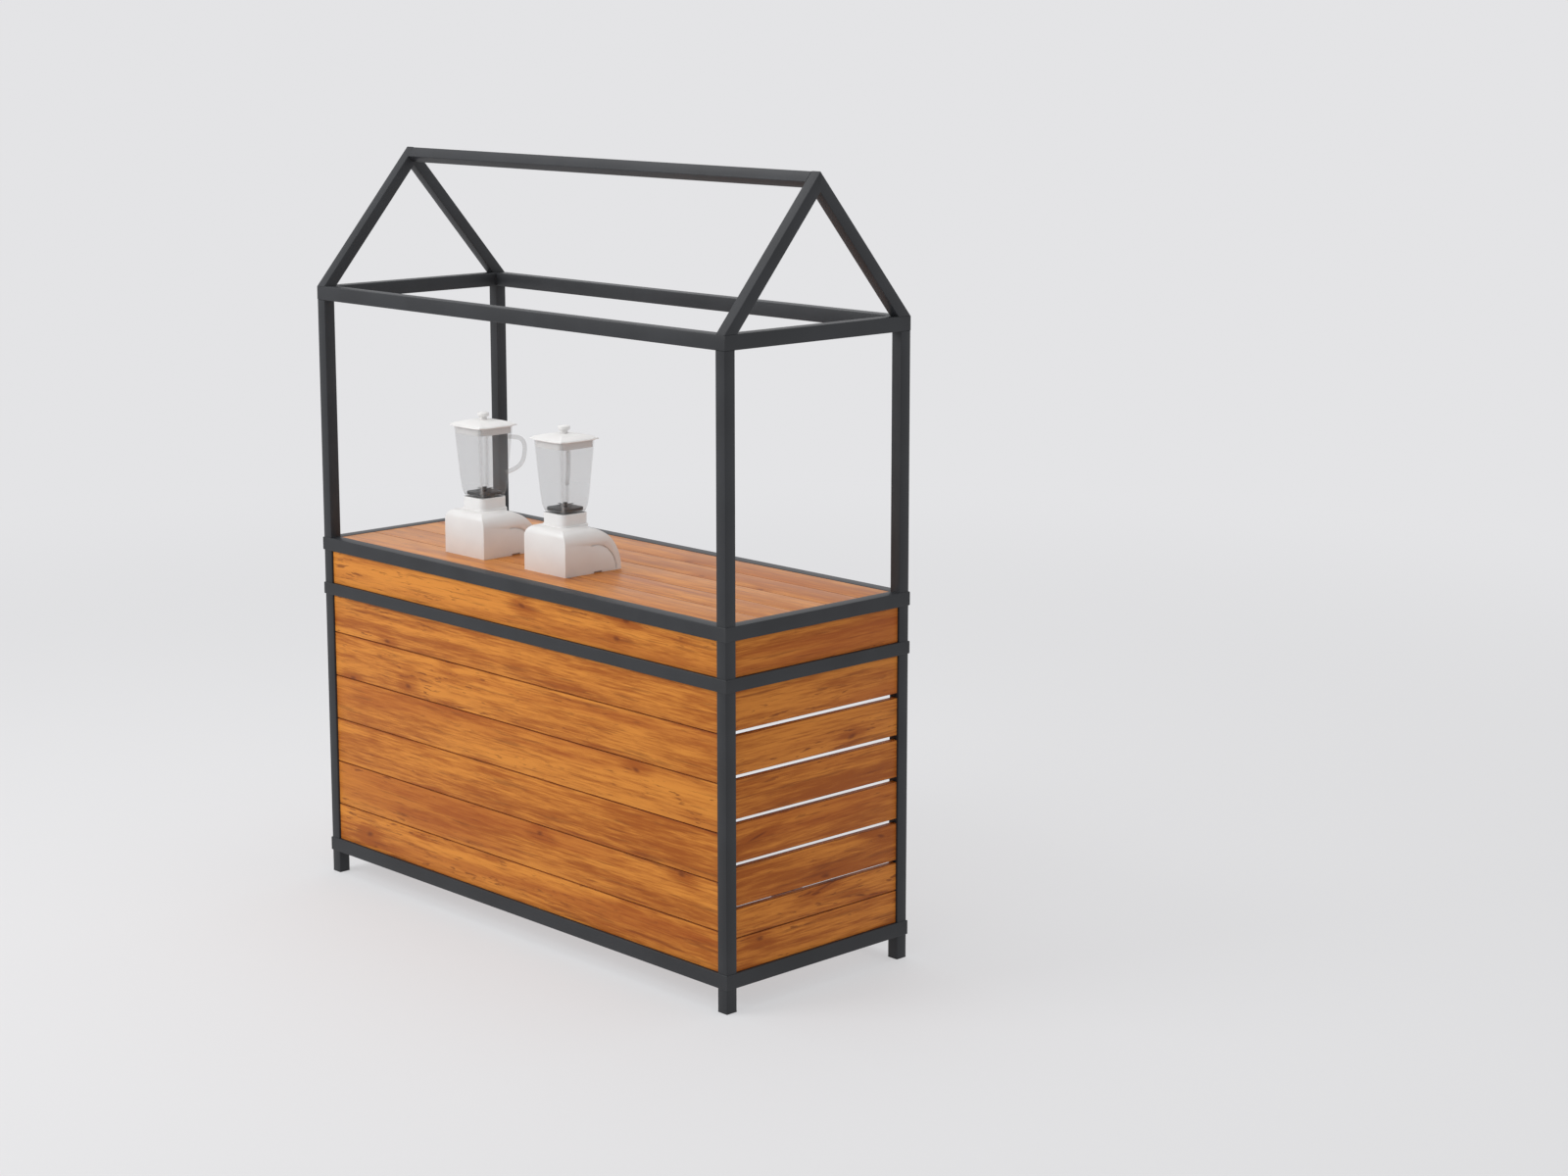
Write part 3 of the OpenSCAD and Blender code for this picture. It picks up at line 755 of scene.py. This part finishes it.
# the lid: a plug in the jar's mouth, a thin flange, a low dome and a knob
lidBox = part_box("blender_lid_left")
plugLook = {"half": 0.0605, "corner": (0.018, 8), "overlap": 0.001}
flangeLook = {"half": 0.071, "corner": (0.032, 12), "height": 0.0045, "edge": (0.0022, 3, 50)}
domeLook = {"levels": ((0.002, 0.068), (0.0055, 0.067), (0.0105, 0.058), (0.0155, 0.040), (0.018, 0.018)),
            "corner": 0.0165, "edge": (0.004, 3, 14)}
knobLook = {"radius": 0.017, "height": 0.012, "edge": (0.004, 4, 50), "drop": 0.008,
            "neck": 0.0105, "neckFoot": 0.014, "neckSunk": 0.006, "smooth": 50}
plug = addSquare("plug", plugLook["half"], lidBox[0].z - deckTop, jarRim + plugLook["overlap"])
roundChosen(plug, upright, *plugLook["corner"])
flange = addSquare("flange", flangeLook["half"], jarRim, jarRim + flangeLook["height"])
roundChosen(flange, upright, *flangeLook["corner"])
roundEdges(flange, *flangeLook["edge"])
dome = flaredBox("dome", [(jarRim + rise, half) for rise, half in domeLook["levels"]], domeLook["corner"])
roundEdges(dome, *domeLook["edge"])
knobTop = lidBox[1].z - deckTop - knobLook["drop"]
neck = addDisc("neck", knobLook["neck"], jarRim + knobLook["neckFoot"], knobTop - knobLook["neckSunk"])
knob = addDisc("knob", knobLook["radius"], knobTop - knobLook["height"], knobTop)
roundEdges(knob, *knobLook["edge"])
lid = smooth(joinAll("blender_lid_left_cap", [plug, flange, dome, neck, knob]), knobLook["smooth"])
whitePlastic.dress(lid)
print("blender lid made")

shift = Vector((pitch, 0, 0))
turnHome = Matrix.Translation(home) @ Matrix.Rotation(math.pi / 2, 4, "Z") @ Matrix.Translation(-home)
for part, leftPiece, suffix, slotName in (("base", base, "shell", "white_plastic"),
                                          ("blade", cutter, "set", "black_rubber"),
                                          ("lid", lid, "cap", "white_plastic"),
                                          ("jar", jarWhole, "clear", "clear_plastic")):
    rightPiece = copyMoved(leftPiece, f"blender_{part}_right_{suffix}", (0, 0, 0))
    quarterTurn = turnHome if part == "jar" else Matrix()  # the right jar's handle points another way
    rightPiece.data.transform(Matrix.Translation(shift) @ quarterTurn)
    place(leftPiece, slotName, f"blender_{part}_left")
    place(rightPiece, slotName, f"blender_{part}_right")
print("blenders placed")


# floor, background and light

studio = {"floor": ((0.79, 0.79, 0.80, 1), (0.80, 0.80, 0.81, 1)), "floorSize": 60, "mottle": (0.6, 2),
          "ownGlow": 0.62, "fade": (2.6, 7.5), "world": 0.62, "horizon": (-0.02, 0.45),
          "low": (0.775, 0.775, 0.79, 1), "high": (0.755, 0.757, 0.772, 1)}
clearSelection()
bpy.ops.mesh.primitive_plane_add(size=studio["floorSize"], location=(0, 0, 0))
floor = bpy.context.active_object
floor.name = "studio_floor"
floorFinish = Finish("studioFloor", Roughness=0.7, Specular_IOR_Level=0.15)
floorSpot = floorFinish.coords()
mottle = floorFinish.noise(floorSpot, *studio["mottle"])
floorFinish.feed("Base Color", floorFinish.mix(mottle, *studio["floor"]))
far = floorFinish.add("VectorMath", {"operation": "LENGTH"}, {0: floorSpot}, output=1)
glow = floorFinish.add("Emission", None, {"Color": studio["low"], "Strength": 1.0})
glowShare = studio["ownGlow"] + far.ramp(*studio["fade"]) * (1 - studio["ownGlow"])
blendOut = floorFinish.add("MixShader", None, {0: glowShare})  # farther floor fades into the background
floorFinish.join(floorFinish.shader.outputs[0], blendOut.socket.node.inputs[1])
floorFinish.join(glow.socket, blendOut.socket.node.inputs[2])
floorFinish.join(blendOut.socket, floorFinish.tree.nodes["Material Output"].inputs["Surface"])
floorFinish.dress(floor)

world = bpy.data.worlds.new("studio")
bpy.context.scene.world = world
world.use_nodes = True
world.node_tree.nodes.clear()
sky = NodeBoard(world.node_tree)
height = sky.add("SeparateXYZ", None, {0: sky.add("TexCoord")}, output=2)
backdrop = sky.mix(height.ramp(*studio["horizon"]), studio["low"], studio["high"])
rayKinds = sky.add("LightPath").socket.node.outputs
seen = [Signal(sky.tree, rayKinds[f"Is {kind} Ray"]) for kind in ("Camera", "Glossy", "Transmission")]
lit = sky.add("Background", None, {"Color": (1, 1, 1, 1), "Strength": studio["world"]})
backed = sky.add("Background", None, {"Color": backdrop, "Strength": 1.0})
mixed = sky.add("MixShader", None, {0: (seen[0] + seen[1] + seen[2]).least(1), 1: lit, 2: backed})
sky.add("OutputWorld", None, {"Surface": mixed}, output=None)


lamps = {
    "key": {"spot": (-2.4, -4.8, 4.4), "aim": (0, 0, 0.9), "size": 3.4, "power": 160},
    "top": {"spot": (-0.6, 0.4, 5.2), "aim": (0, 0, 0.9), "size": 4.5, "power": 75},
}
for lampName, lampLook in lamps.items():
    spot, aim = Vector(lampLook["spot"]), Vector(lampLook["aim"])
    clearSelection()
    facing = (aim - spot).to_track_quat("-Z", "Y").to_euler()
    bpy.ops.object.light_add(type="AREA", location=spot, rotation=facing)
    lamp = bpy.context.active_object
    lamp.name = "lamp_" + lampName
    lamp.data.shape = "SQUARE"
    lamp.data.size = lampLook["size"]
    lamp.data.energy = lampLook["power"]

cameraLook = {"spot": (6.0845, -5.128, 2.576), "turn": (79.968, 0, 46.196), "lens": 66.12, "sensor": 36,
              "lift": -0.05, "farClip": 200}
clearSelection()
bpy.ops.object.camera_add(location=cameraLook["spot"], rotation=[math.radians(a) for a in cameraLook["turn"]])
camera = bpy.context.active_object
camera.data.lens = cameraLook["lens"]
camera.data.sensor_width = cameraLook["sensor"]
camera.data.shift_y = cameraLook["lift"]
camera.data.clip_end = cameraLook["farClip"]
bpy.context.scene.camera = camera
bpy.context.scene.view_settings.view_transform = "Standard"
print("stage, lights and camera set")
